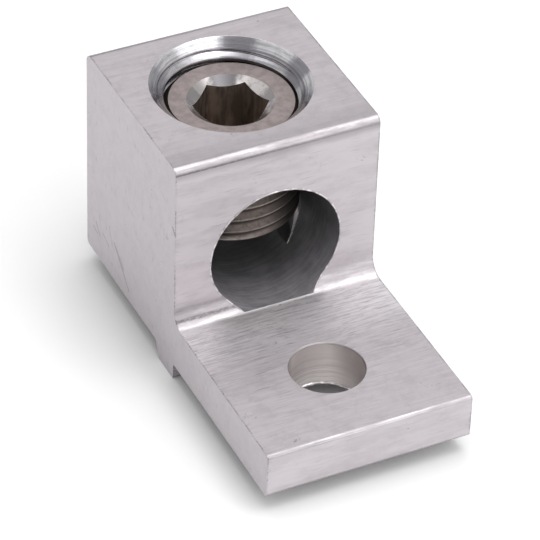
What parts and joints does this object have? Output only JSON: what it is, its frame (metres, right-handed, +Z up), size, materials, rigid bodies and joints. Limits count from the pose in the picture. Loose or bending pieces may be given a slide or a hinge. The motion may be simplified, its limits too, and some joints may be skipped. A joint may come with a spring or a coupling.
{
  "type": "mechanical lug",
  "caption": "Aluminium set-screw lug: a bored block with a flat drilled tongue, clamping a conductor end to a stud.",
  "frame": {"origin": "centre of the stud hole, on the tongue's flat underside", "axes": "+Z up, along the stud hole and the set screw; +Y from the tongue towards the block's back, along the wire bore; +X across the width, along the extrusion"},
  "size_m": [0.0286, 0.0561, 0.0337],
  "materials": {
    "extruded_aluminium": "mill finish with fine extrusion lines and sawn sides",
    "turned_aluminium": "turned and threaded, slightly darker and warmer"
  },
  "bodies": {
    "lug": {"lug_body": "extruded_aluminium"},
    "screw": {"set_screw": "turned_aluminium"}
  },
  "joints": [
    {"name": "screw_travel", "type": "slide", "parent": "lug", "child": "screw", "axis": [0, 0, 1], "range_m": [-0.00181, 0.0127]}
  ]
}
